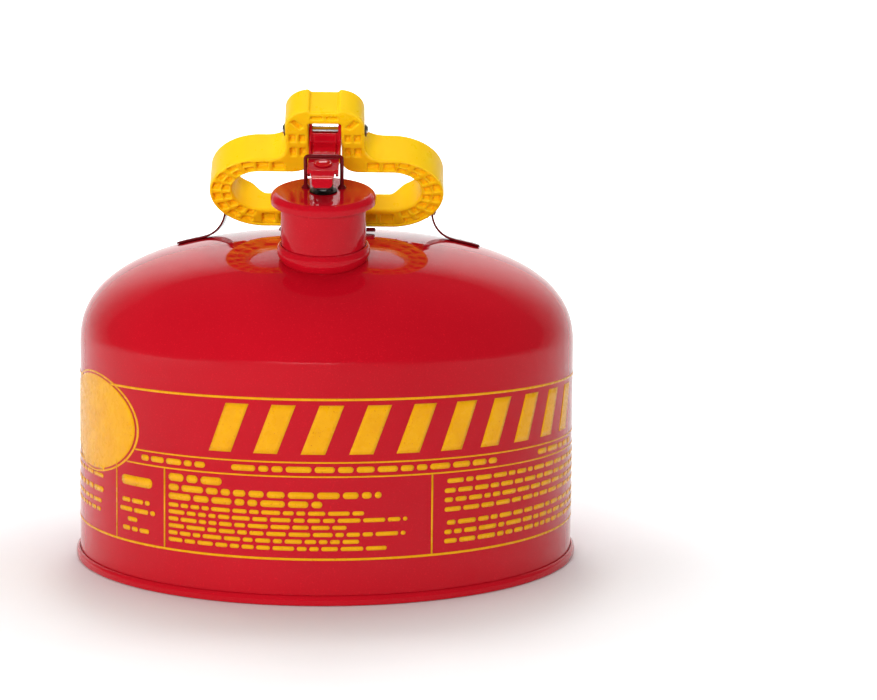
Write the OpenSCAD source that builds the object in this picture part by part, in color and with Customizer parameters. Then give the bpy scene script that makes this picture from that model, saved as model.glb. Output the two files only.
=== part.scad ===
// Safety gas can, about 9.5 litres, with a self-closing lid.
// Origin: centre of the bottom. X to the right, the neck points to -Y, Z up.

/* [Body] */
// Radius of the side wall
body_r = 140.5; // [139:0.1:141]
// Height where the wall turns into the dome
wall_h = 118.8; // [116:0.1:120]
// Rise of the dome above the wall
dome_rise = 65.3; // [64:0.1:66]
// Sheet thickness of the shell
sheet = 1.0; // [0.8:0.1:1.2]
// Outer radius of the rolled bottom seam
chime_r = 142.9; // [142:0.1:143.5]
// Height of the rolled bottom seam
chime_h = 5.2; // [4.6:0.1:6]

/* [Neck] */
// Forward lean of the neck in degrees
neck_tilt = 16; // [15:0.5:17]
// Distance of the neck foot in front of the can centre
neck_y = 89.5; // [88:0.5:91]
// Outer radius of the neck tube
neck_r = 22.3; // [22:0.1:22.6]
// Inner radius of the neck tube
neck_bore_r = 20.9; // [20.7:0.1:21]
// Top edge of the neck above the dome, along its axis
neck_top = 32.2; // [32:0.1:32.4]
// Radius of the collar at the foot of the neck
collar_r = 23.3; // [23:0.1:24]

/* [Flame arrester] */
// Outer radius of the perforated sleeve
arrester_r = 19.6; // [19:0.1:19.8]
// Depth of the sleeve below the dome, along the neck axis
arrester_depth = 78; // [60:1:85]
// Number of hole rows
arrester_rows = 7; // [4:1:8]

/* [Handle] */
// Forward lean of the handle from upright, degrees
handle_lean = 50; // [49:0.5:51]
// Front lower edge of the handle, distance in front of the can centre
handle_y = 23.9; // [23:0.1:25]
// Front lower edge of the handle, height
handle_z = 185.8; // [185.6:0.1:186.2]
// Half width of the handle ring
ring_half_w = 64; // [63:0.5:65]
// Height of the handle ring along the handle
ring_h = 58.2; // [57:0.1:59]
// Thickness of the lower bar along the handle
low_bar = 15.2; // [14.6:0.1:15.6]
// Thickness of the upper bars along the handle
top_bar = 10.3; // [10:0.1:11]
// Depth of the ring, front to back
ring_depth = 19; // [18:0.5:19.5]
// Depth of the lower bar
bar_depth = 12.7; // [12:0.1:13]
// Depth of the block
block_depth = 15.7; // [15:0.1:16]
// Half width of the block
block_half_w = 20.8; // [20:0.1:21.5]
// Top of the block along the handle
block_top = 98.5; // [97:0.1:99]
// Depth of the moulded pockets
pocket_depth = 3; // [2:0.5:7]

/* [Lid] */
// Outer radius of the lid skirt
lid_r = 27.4; // [27:0.1:27.6]
// Height of the skirt's lower edge above the dome, along the neck axis
skirt_low = 29.7; // [29.2:0.1:30]
// Width of the lid arm
arm_w = 16; // [15.6:0.1:16.4]
// Sheet thickness of the lid arm
arm_t = 1.6; // [1.4:0.1:1.8]
// Radius of the steel pin through the block
arm_pin_r = 2.5; // [2.3:0.1:2.6]
// Wire radius of the bail
bail_r = 1.05; // [0.9:0.05:1.1]

/* [Hidden] */
fine = 96;
mid = 48;
// exponents of the dome's outline
ex_r = 2.336;
ex_z = 2.473;
function dome_z(r) = wall_h + dome_rise * pow(1 - pow(r / body_r, ex_r), 1 / ex_z);
neck_z = dome_z(neck_y);
// outside of the neck where the collar and the lid sit
neck_foot_r = neck_r - 0.3;
// fit clearances
run = 0.05;
gap = 0.35;
// pivot of the handle
piv_y = -6;
piv_z = 197;
piv_r = 2.5;
leg_x = 57.9;
leg_t = 1.2;
leg_bend = 15;
// in the handle's frame: x to the right, y up along the handle, z to the front
// the steel pin of the arm, in the handle's frame
pin_s = 74.2;
pin_n = 8;
pin_y = -handle_y - pin_s * sin(handle_lean) + pin_n * cos(handle_lean);
pin_z = handle_z + pin_s * cos(handle_lean) + pin_n * sin(handle_lean);
// the same pin, in the neck's frame
nf_y = (pin_y + neck_y) * cos(neck_tilt) + (pin_z - neck_z) * sin(neck_tilt);
nf_z = -(pin_y + neck_y) * sin(neck_tilt) + (pin_z - neck_z) * cos(neck_tilt);
// lid levels along the neck axis
gasket_low = neck_top + 0.3;
gasket_top = gasket_low + 1.6;
lid_top = gasket_top + 1.2;
// the arm's plate: height of its underside on the neck's axis, and its rise to the rear
plate_low = 48.6;
plate_lean = 7.5;
// a point of the plate, y along it and z off its underside, in the neck's frame
function pp(y, z) = [y * cos(plate_lean) - z * sin(plate_lean), plate_low + y * sin(plate_lean) + z * cos(plate_lean)];
bail_y = 6.2;
bail_top = pp(bail_y, arm_t)[1] + (bail_r + 0.25) / cos(plate_lean);

module in_neck() { translate([0, -neck_y, neck_z]) rotate([neck_tilt, 0, 0]) children(); }
module in_handle() { translate([0, -handle_y, handle_z]) rotate([90 + handle_lean, 0, 0]) children(); }
module along_x(x0, x1) { translate([x0, 0, 0]) rotate([90, 0, 90]) linear_extrude(x1 - x0) children(); }
module both() { children(); mirror([1, 0, 0]) children(); }

// coil of round wire as one swept mesh: radius, wire radius, length, turns
module coil(r, w, len, turns, steps = 16, sides = 8) {
  n = round(turns * steps);
  pts = [for (i = [0:n]) let (a = 360 * turns * i / n, z = w + (len - 2 * w) * i / n)
    for (k = [0:sides - 1]) let (b = 360 * k / sides)
      [(r + w * cos(b)) * cos(a), (r + w * cos(b)) * sin(a), z + w * sin(b)]];
  quads = [for (i = [0:n - 1]) for (k = [0:sides - 1]) let (k2 = (k + 1) % sides)
    [i * sides + k, i * sides + k2, (i + 1) * sides + k2, (i + 1) * sides + k]];
  ends = [[for (k = [0:sides - 1]) sides - 1 - k], [for (k = [0:sides - 1]) n * sides + k]];
  polyhedron(points = pts, faces = concat(quads, ends), convexity = 8);
}

// outline of the dome and wall, shrunk by d
function shell_side(d, n = 26) = [for (i = [0:n]) let (t = 90 * i / n)
  [(body_r - d) * pow(max(cos(t), 0), 2 / ex_r), wall_h + (dome_rise - d) * pow(max(sin(t), 0), 2 / ex_z)]];
module shell_solid(d, low) {
  rotate_extrude($fn = fine) polygon(concat([[0, low], [body_r - d, low]], shell_side(d)));
}

module body_shell() {
  color("firebrick") difference() {
    rotate_extrude($fn = fine) polygon(concat([[body_r, 1.3]], shell_side(0),
      [for (i = [26:-1:0]) shell_side(sheet)[i]], [[body_r - sheet, 1.3]]));
    in_neck() translate([0, 0, -20]) cylinder(r = neck_foot_r + 0.02, h = 40, $fn = fine);
  }
}

module base_pan() {
  r = body_r - sheet - 0.05;
  color("firebrick") rotate_extrude($fn = fine) polygon([[0, 5], [110, 5], [114, 6.6], [r - 1.2, 6.6],
    [r - 1.2, 1.3], [r, 1.3], [r, 7.8], [113, 7.8], [109, 6.2], [0, 6.2]]);
}

module chime_ring() {
  c = chime_h;
  color("firebrick") rotate_extrude($fn = fine) polygon([[body_r - 2.3, 0], [chime_r - 1.2, 0], [chime_r - 0.35, 0.7],
    [chime_r, 1.9], [chime_r, c - 2.4], [chime_r - 0.5, c - 1.1], [chime_r - 1.3, c - 0.2], [body_r + 0.05, c],
    [body_r + 0.05, 1.2], [body_r - 2.3, 1.2]]);
}

module neck_tube() {
  f = neck_foot_r;
  color("firebrick") in_neck() rotate_extrude($fn = fine) polygon([[neck_bore_r, -7], [f, -7],
    [f, 7.25], [neck_r, 7.5], [neck_r, 29.2], [f, 29.45], [f, neck_top - 0.6], [f - 0.15, neck_top - 0.2], [f - 0.5, neck_top],
    [neck_bore_r + 0.3, neck_top], [neck_bore_r, neck_top - 0.4]]);
}

module neck_collar() {
  r0 = neck_foot_r + 0.03;
  color("firebrick") difference() {
    in_neck() rotate_extrude($fn = fine) polygon([[r0, -4], [collar_r - 0.4, -4], [collar_r - 0.2, 0.5],
      [collar_r, 2.2], [collar_r, 4.2], [collar_r - 0.25, 5.6], [collar_r - 0.65, 6.6], [r0, 7.1]]);
    shell_solid(-0.02, 100);
  }
}

module arrester_tube() {
  r = arrester_r;
  rows = arrester_rows;
  pitch = (arrester_depth - 8) / rows;
  color("silver") in_neck() difference() {
    translate([0, 0, -arrester_depth]) cylinder(r = r, h = arrester_depth + 20, $fn = fine);
    translate([0, 0, -arrester_depth - 1]) cylinder(r = r - 0.7, h = arrester_depth + 22, $fn = fine);
    for (j = [0:rows - 1], i = [0:3])
      translate([0, 0, -arrester_depth + 7 + pitch * (j + 0.5)]) rotate([90, 0, 45 * i + 22.5 * (j % 2)])
        cylinder(r = 2.6, h = 60, center = true, $fn = 24);
  }
}

module arrester_screen() {
  r = arrester_r - 0.8;
  color("dimgray") in_neck() difference() {
    translate([0, 0, -arrester_depth]) cylinder(r = r, h = arrester_depth + 19, $fn = fine);
    translate([0, 0, -arrester_depth - 1]) cylinder(r = r - 0.6, h = arrester_depth + 22, $fn = fine);
  }
}

module arrester_ring() {
  color("silver") in_neck() rotate_extrude($fn = fine) polygon([[arrester_r + 0.02, 14], [neck_bore_r - 0.02, 14],
    [neck_bore_r - 0.02, 21.2], [arrester_r - 1.6, 21.2], [arrester_r - 1.6, 20.05], [arrester_r + 0.02, 20.05]]);
}

module arrester_cap() {
  d = arrester_depth;
  color("silver") in_neck() rotate_extrude($fn = fine) polygon([[0, -d - 1.2], [arrester_r + 0.3, -d - 1.2],
    [arrester_r + 0.8, -d - 0.7], [arrester_r + 0.8, -d + 4], [arrester_r + 0.03, -d + 4],
    [arrester_r + 0.03, -d - 0.05], [0, -d - 0.05]]);
}

// strap seen from the front: foot on the dome, bend, upright
// the strap's bend, from its vertical part to the foot on the dome
function leg_arc(r) = [for (i = [0:12]) let (a = 180 + 78 * i / 12)
  [leg_x + leg_t / 2 + leg_bend + r * cos(a), 193.98 + r * sin(a)]];
function flip(v) = [for (i = [len(v) - 1:-1:0]) v[i]];
module leg_outline() {
  under = [for (i = [0:8]) let (x = 86 - (86 - 71.2) * i / 8) [x, dome_z(x) + 0.06]];
  over = [for (p = under) p + [0.25, leg_t]];
  polygon(concat(under, flip(leg_arc(leg_bend + leg_t / 2)), [[leg_x, 210], [leg_x + leg_t, 210]],
    leg_arc(leg_bend - leg_t / 2), flip(over)));
}
module leg_side() {
  translate([piv_y, piv_z]) circle(r = 8, $fn = mid);
  polygon([[piv_y - 7.98, piv_z + 0.5], [piv_y - 7.6, piv_z - 4], [piv_y - 10, piv_z - 13], [piv_y - 10, 160],
    [piv_y + 10, 160], [piv_y + 10, piv_z - 13], [piv_y + 7.6, piv_z - 4], [piv_y + 7.98, piv_z + 0.5]]);
}
module leg() {
  difference() {
    intersection() {
      translate([0, piv_y + 12, 0]) rotate([90, 0, 0]) linear_extrude(24) leg_outline();
      along_x(50, 90) leg_side();
    }
    translate([50, piv_y, piv_z]) rotate([0, 90, 0]) cylinder(r = piv_r + 0.02, h = 20, $fn = mid);
  }
}
module support_leg_right() { color("darkred") leg(); }
module support_leg_left() { color("darkred") mirror([1, 0, 0]) leg(); }

module handle_stop() {
  zt = handle_z - gap;
  color("#2a1416") {
    translate([-26.5, -36, zt - 1.2]) cube([53, 13.5, 1.2]);
    translate([-26.5, -36, zt]) cube([53, 1.2, 0.9]);
    difference() {
      both() translate([15, -36, 176]) cube([2.6, 13.5, zt - 1.2 - 176]);
      shell_solid(-0.02, 100);
    }
  }
}

module pivot_pins() {
  color("silver") both() translate([0, piv_y, piv_z]) rotate([0, 90, 0]) {
    translate([0, 0, 37]) cylinder(r = piv_r, h = leg_x + leg_t - 37 + 0.2, $fn = mid);
    translate([0, 0, leg_x + leg_t + 0.12]) rotate_extrude($fn = mid)
      polygon([[0, 0], [4.6, 0], [4.6, 0.5], [4.0, 1.3], [2.6, 1.8], [0, 2.0]]);
  }
}
module pivot_washers() {
  color("silver") both() translate([leg_x - 0.65, piv_y, piv_z]) rotate([0, 90, 0]) difference() {
    cylinder(r = 5.2, h = 0.6, $fn = mid);
    translate([0, 0, -1]) cylinder(r = piv_r + 0.02, h = 3, $fn = mid);
  }
}
module pivot_clips() {
  color("silver") both() translate([37.4, piv_y, piv_z]) rotate([0, 90, 0]) difference() {
    cylinder(r = 4.2, h = 0.8, $fn = mid);
    translate([0, 0, -1]) cylinder(r = piv_r + 0.02, h = 3, $fn = mid);
  }
}

// rounded bar seen from the front, half width w, height h, at height s
module stadium(w, h) {
  translate([-w + h / 2, 0]) square([2 * w - h, h]);
  for (k = [-1, 1]) translate([k * (w - h / 2), h / 2]) circle(r = h / 2, $fn = fine);
}
hole_h = ring_h - low_bar - top_bar;
hole_half = ring_half_w - 12.3;
slot_half = 8.6;
module handle_outline() {
  rr = 13.8;
  fr = 9;
  cs = 7;
  difference() {
    union() {
      stadium(ring_half_w, ring_h);
      translate([-block_half_w, 30]) square([2 * block_half_w, block_top - rr - 30]);
      for (k = [-1, 1]) translate([k * (block_half_w - rr), block_top - rr]) circle(r = rr, $fn = fine);
      translate([-block_half_w + rr, 60]) square([2 * (block_half_w - rr), block_top - 60]);
      // fillets between the upper bars and the block
      for (k = [-1, 1]) difference() {
        translate([k * (block_half_w + fr / 2), ring_h + fr / 2 - 1]) square([fr, fr + 2], center = true);
        translate([k * (block_half_w + fr), ring_h + fr]) circle(r = fr, $fn = mid);
      }
    }
    translate([0, low_bar]) stadium(hole_half, hole_h);
    // slot for the lid arm, flared where it meets the hole
    translate([-slot_half, 40]) square([2 * slot_half, 87.5 - 40]);
    for (k = [-1, 1]) difference() {
      translate([k * (slot_half + cs / 2 - 0.5), low_bar + hole_h + cs / 2 - 0.5]) square([cs + 1, cs + 1], center = true);
      translate([k * (slot_half + cs), low_bar + hole_h + cs]) circle(r = cs, $fn = mid);
    }
    // shallow notch in the top
    translate([-7.5, block_top - 1.9]) square([15, 4]);
  }
}
// one moulded pocket: centre x, y, turn, size across and along the band
module pocket(x, y, a, w, h) {
  translate([x, y, -pocket_depth]) rotate([0, 0, a]) translate([-w / 2, -h / 2, 0]) cube([w, h, pocket_depth + 1]);
}
// distance from the centre of the ring's round end to the edge of the hole, in direction a
function hole_edge(a) = let (r = hole_h / 2, cx = hole_half - r - (ring_half_w - ring_h / 2), cy = low_bar + r - ring_h / 2,
  d = cx * cos(a) + cy * sin(a)) d + sqrt(r * r - cx * cx - cy * cy + d * d);
module handle_pockets() {
  cx = ring_half_w - ring_h / 2;
  for (k = [-1, 1]) {
    // round the ends, two rows
    for (i = [0:7], q = [0, 1]) let (a = -66 + 20 * i, r0 = hole_edge(a), t = ring_h / 2 - r0, r = q == 0 ? r0 + 0.70 * t : r0 + 0.27 * t)
      pocket(k * (cx + r * cos(a)), ring_h / 2 + r * sin(a), k * a, 0.33 * t, 0.21 * r);
    // upper bars
    for (i = [0:1]) pocket(k * (cx - 1 - 8.6 * i), ring_h - top_bar / 2, 0, 6.2, 6.4);
    // lower bar
    for (i = [0:3]) pocket(k * (4.7 + 9.4 * i), low_bar / 2, 0, 7.2, 8.2);
    // cheeks of the block
    for (i = [0:1]) pocket(k * (slot_half + block_half_w) / 2, 63.5 + 18.6 * i, 0, 7, 7.4);
  }
}
module lug() {
  difference() {
    union() {
      translate([0, piv_y, piv_z]) rotate([0, 90, 0]) cylinder(r = 7, h = 7.5, $fn = mid);
      // web from the lug to the back of the ring
      along_x(0, 7.5) polygon([[piv_y - 5.2, piv_z + 4.7], [piv_y + 1.5, piv_z - 6.8], [-18.5, 191.9], [-24, 197.5], [-18.5, 206.3]]);
    }
    translate([-1, piv_y, piv_z]) rotate([0, 90, 0]) cylinder(r = piv_r + run, h = 12, $fn = mid);
  }
}
module handle_grip() {
  color("gold") difference() {
    union() {
      in_handle() difference() {
        translate([0, 0, -ring_depth]) linear_extrude(ring_depth) handle_outline();
        handle_pockets();
        // thinner lower bar and block
        translate([-38, -2, -ring_depth - 1]) cube([76, low_bar + 8, ring_depth + 1 - bar_depth]);
        translate([-block_half_w - 1, ring_h + 9, -ring_depth - 1]) cube([2 * block_half_w + 2, 60, ring_depth + 1 - block_depth]);
      }
      both() translate([48.9, 0, 0]) lug();
    }
    // bore for the steel pin
    translate([-60, pin_y, pin_z]) rotate([0, 90, 0]) cylinder(r = arm_pin_r + 0.02, h = 120, $fn = mid);
    both() translate([40, piv_y, piv_z]) rotate([0, 90, 0]) cylinder(r = piv_r + run, h = 16, $fn = mid);
    both() translate([36, piv_y, piv_z]) rotate([0, 90, 0]) cylinder(r = 6.3, h = 12.8, $fn = mid);
  }
}

module handle_springs() {
  color("silver") both() {
    translate([39, piv_y, piv_z]) rotate([0, 90, 0]) coil(3.9, 0.8, 9, 4.5);
  }
}

module arm_pin() {
  color("silver") translate([-block_half_w - 1.9, pin_y, pin_z]) rotate([0, 90, 0])
    cylinder(r = arm_pin_r, h = 2 * block_half_w + 3.8, $fn = mid);
}
module arm_pin_clips() {
  color("silver") both() translate([block_half_w + 0.1, pin_y, pin_z]) rotate([0, 90, 0]) difference() {
    cylinder(r = 3.4, h = 1, $fn = mid);
    translate([0, 0, -1]) cylinder(r = arm_pin_r + 0.02, h = 4, $fn = mid);
  }
}

// side of the arm, in the neck's frame (y to the rear, z up the neck axis)
module arm_side() {
  difference() {
    union() {
      translate([nf_y, nf_z]) circle(r = 4.7, $fn = mid);
      polygon([[nf_y - 4.69, nf_z - 0.3], [nf_y - 5.4, nf_z - 3.2], [nf_y - 6, nf_z - 4.6], pp(23.6, arm_t), pp(-7, arm_t), pp(-8, 0.4),
        pp(-7.6, -1.6), pp(-4.5, -4.2), pp(26, -4.2), [nf_y + 2.6, nf_z - 7.6], [nf_y + 4.69, nf_z - 0.3]]);
    }
    translate([nf_y, nf_z]) circle(r = arm_pin_r + run, $fn = mid);
  }
}
// web, top plate and finger tab as one bent strip
module arm_strip() {
  polygon([[nf_y - 5.4, nf_z - 0.7], [nf_y - 5.4, nf_z - 3.2], [nf_y - 5.85, nf_z - 4.5], [nf_y - 6.5, nf_z - 5.35], pp(23.6, arm_t),
    pp(-13.9, arm_t), pp(-15.4, 1.3), pp(-16.5, 0.5), [-17.2, 45.9], [-18.5, 43], [-18.35, 42.45], [-17.9, 42.1], [-17.3, 42.1],
    [-17.04, 42.4], [-15.74, 45.25], pp(-15, -0.75), pp(-14.1, -0.15), pp(-13.2, 0), pp(23.2, 0), [nf_y - 5.7, nf_z - 7.2],
    [nf_y - 4.6, nf_z - 6.1], [nf_y - 4.05, nf_z - 4.8], [nf_y - 3.8, nf_z - 3.2], [nf_y - 3.8, nf_z - 0.7]]);
}
module lid_arm() {
  h = arm_w / 2;
  color("firebrick") in_neck() difference() {
    union() {
      intersection() {
        along_x(-h, h) arm_strip();
        // from above: full width behind, narrower to the front; the tab's lower corners are round
        union() {
          translate([0, 0, 44]) linear_extrude(40) polygon([[-h, 60], [-h, -6], [-6.6, -8.2], [-5.5, -15.5], [-5.3, -22],
            [5.3, -22], [5.5, -15.5], [6.6, -8.2], [h, -6], [h, 60]]);
          translate([-3.1, -40, 40]) cube([6.2, 40, 10]);
          for (k = [-1, 1]) translate([k * 3.1, 0, 44.2]) rotate([90, 0, 0]) cylinder(r = 2.2, h = 40, $fn = mid);
        }
      }
      both() along_x(h - arm_t, h) arm_side();
    }
    translate([0, 0, 40]) cylinder(r = 2.6, h = 30, $fn = mid);
  }
}

module lid_cap() {
  r = lid_r;
  t = lid_top;
  color("firebrick") in_neck() rotate_extrude($fn = fine) polygon([[2.55, gasket_top + 0.02], [r - 2.8, gasket_top + 0.02], [r - 1.7, gasket_top - 0.7],
    [r - 1.1, gasket_top - 1.9], [r - 1, skirt_low + 0.4], [r - 0.8, skirt_low], [r - 0.2, skirt_low], [r, skirt_low + 0.4],
    [r, t - 3.0], [r - 0.25, t - 1.6], [r - 0.9, t - 0.55], [r - 2.0, t - 0.08], [r - 3.2, t], [2.55, t]]);
}
module lid_gasket() {
  color("#1c1c1c") in_neck() rotate_extrude($fn = fine)
    polygon([[2.55, gasket_low], [lid_r - 3.4, gasket_low], [lid_r - 3.0, gasket_low + 0.4], [lid_r - 3.0, gasket_top], [2.55, gasket_top]]);
}
module gasket_plate() {
  color("silver") in_neck() rotate_extrude($fn = fine)
    polygon([[2.55, gasket_low - 0.9], [16.6, gasket_low - 0.9], [17, gasket_low - 0.5], [17, gasket_low - 0.02], [2.55, gasket_low - 0.02]]);
}
module lid_stud() {
  color("firebrick") in_neck() {
    rotate_extrude($fn = mid) polygon([[0, gasket_low - 2.4], [4.4, gasket_low - 2.4], [4.6, gasket_low - 1.9], [4.6, gasket_low - 0.92],
      [2.5, gasket_low - 0.92], [2.5, plate_low + 2.3], [0, plate_low + 2.3]]);
    // the head lies flat on the plate
    translate([0, 0, plate_low]) rotate([plate_lean, 0, 0]) rotate_extrude($fn = mid)
      polygon([[0, arm_t + 0.2], [4.7, arm_t + 0.2], [4.9, arm_t + 0.35], [4.9, arm_t + 0.6], [4.4, arm_t + 0.9], [3.3, arm_t + 0.95],
        [3.2, arm_t + 1.3], [2.6, arm_t + 1.6], [0, arm_t + 1.7]]);
  }
}
module spring_seat() {
  color("silver") in_neck() rotate_extrude($fn = mid)
    polygon([[2.55, lid_top + 0.02], [7.2, lid_top + 0.02], [7.2, lid_top + 0.9], [2.55, lid_top + 0.9]]);
}
module relief_spring() {
  color("silver") in_neck() translate([0, 0, lid_top + 0.95]) coil(4.6, 0.7, pp(-5.3, 0)[1] - lid_top - 1.05, 4.5);
}
module bail_wire() {
  bx = arm_w / 2 + 0.35 + bail_r;
  z0 = lid_top + 0.03;
  color("firebrick") in_neck() {
    for (k = [-1, 1]) {
      translate([k * bx, bail_y, z0]) cylinder(r = bail_r, h = bail_top - z0 - 2, $fn = 24);
      translate([k * (bx - 2), bail_y, bail_top - 2]) rotate([90, 0, 0])
        intersection() { rotate_extrude($fn = mid) translate([2, 0]) circle(r = bail_r, $fn = 24);
          translate([k > 0 ? 0 : -5, 0, -3]) cube([5, 5, 6]); }
    }
    translate([-bx + 2, bail_y, bail_top]) rotate([0, 90, 0]) cylinder(r = bail_r, h = 2 * bx - 4, $fn = 24);
  }
}
module bail_sockets() {
  bx = arm_w / 2 + 0.35 + bail_r;
  color("firebrick") in_neck() for (k = [-1, 1]) translate([k * bx, bail_y, lid_top + 0.02]) rotate_extrude($fn = mid)
    polygon([[bail_r + 0.03, 0], [bail_r + 1.3, 0], [bail_r + 1.1, 0.7], [bail_r + 0.6, 1.5], [bail_r + 0.03, 1.9]]);
}

body_shell();
base_pan();
chime_ring();
neck_tube();
neck_collar();
arrester_tube();
arrester_screen();
arrester_ring();
arrester_cap();
support_leg_left();
support_leg_right();
handle_stop();
pivot_pins();
pivot_washers();
pivot_clips();
handle_grip();
handle_springs();
arm_pin();
arm_pin_clips();
lid_arm();
lid_cap();
lid_gasket();
gasket_plate();
lid_stud();
relief_spring();
spring_seat();
bail_wire();
bail_sockets();
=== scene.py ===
import math
import bpy
import bmesh
import numpy as np
from mathutils import Vector, Matrix


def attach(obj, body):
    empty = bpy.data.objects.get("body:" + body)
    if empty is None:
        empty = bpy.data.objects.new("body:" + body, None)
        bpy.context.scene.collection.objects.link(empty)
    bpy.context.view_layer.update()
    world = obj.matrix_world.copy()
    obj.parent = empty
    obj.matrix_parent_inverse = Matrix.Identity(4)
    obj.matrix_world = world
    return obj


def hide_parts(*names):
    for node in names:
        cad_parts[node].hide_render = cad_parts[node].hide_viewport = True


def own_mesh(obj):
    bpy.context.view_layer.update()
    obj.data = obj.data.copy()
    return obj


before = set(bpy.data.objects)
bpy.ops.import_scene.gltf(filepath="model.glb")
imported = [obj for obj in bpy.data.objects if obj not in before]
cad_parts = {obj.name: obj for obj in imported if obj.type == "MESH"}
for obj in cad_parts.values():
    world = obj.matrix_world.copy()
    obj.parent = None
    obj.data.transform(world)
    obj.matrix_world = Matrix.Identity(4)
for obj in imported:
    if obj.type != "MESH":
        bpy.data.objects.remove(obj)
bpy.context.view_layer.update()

MM = 0.001
RNG = np.random.default_rng(7)

# ------------------------------------------------------------------ sizes (mm), as in the design
BODY_R, WALL_H, RISE, EX_R, EX_Z = 140.5, 118.8, 65.3, 2.336, 2.473
CHIME_R, CHIME_H, SHEET = 142.85, 5.2, 1.0
NECK_Y, NECK_TILT, NECK_R, BORE_R, NECK_TOP, COLLAR_R = 89.5, 16.0, 22.3, 20.9, 32.2, 23.3
H_LEAN, H_Y, H_Z = 50.0, 23.9, 185.8
RING_W, RING_H, LOW_BAR, TOP_BAR = 64.0, 58.2, 15.2, 10.3
RING_D, BAR_D, BLOCK_D = 19.0, 12.7, 15.7
BLOCK_W, BLOCK_TOP, POCKET = 20.8, 98.5, 3.0
LID_R, SKIRT = 27.4, 29.7
PIV_Y, PIV_Z, PIV_R = -6.0, 197.0, 2.5
PIN_S, PIN_N, PIN_R = 74.2, 8.0, 2.5
LEG_X, LEG_T, LEG_BEND = 57.9, 1.2, 15.0
ARM_W, ARM_T, BAIL_R = 16.0, 1.6, 1.05
STOP_GAP = 0.35
G_LOW = NECK_TOP + 0.3
G_TOP = G_LOW + 1.6
LID_TOP = G_TOP + 1.2
FOOT_R = NECK_R - 0.3
PL, P_LEAN = 48.6, 7.5
BAIL_Y = 6.2
_pl = math.radians(P_LEAN)


def plate(y, z):
    """A point on the arm's plate, y along it and z off its underside, in the neck's frame."""
    return (y * math.cos(_pl) - z * math.sin(_pl), PL + y * math.sin(_pl) + z * math.cos(_pl))


BAIL_TOP = plate(BAIL_Y, ARM_T)[1] + (BAIL_R + 0.25) / math.cos(_pl)


def dome_z(r):
    r = np.clip(np.abs(np.asarray(r, float)), 0, BODY_R)
    return WALL_H + RISE * (1 - (r / BODY_R) ** EX_R) ** (1 / EX_Z)


NECK_Z = float(dome_z(NECK_Y))
T_NECK = Matrix.Translation((0, -NECK_Y, NECK_Z)) @ Matrix.Rotation(math.radians(NECK_TILT), 4, "X")
T_HAND = Matrix.Translation((0, -H_Y, H_Z)) @ Matrix.Rotation(math.radians(90 + H_LEAN), 4, "X")
_ly = math.radians(H_LEAN)
PIN_Y = -H_Y - PIN_S * math.sin(_ly) + PIN_N * math.cos(_ly)
PIN_Z = H_Z + PIN_S * math.cos(_ly) + PIN_N * math.sin(_ly)
_t = math.radians(NECK_TILT)
NF_Y = (PIN_Y + NECK_Y) * math.cos(_t) + (PIN_Z - NECK_Z) * math.sin(_t)
NF_Z = -(PIN_Y + NECK_Y) * math.sin(_t) + (PIN_Z - NECK_Z) * math.cos(_t)


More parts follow.
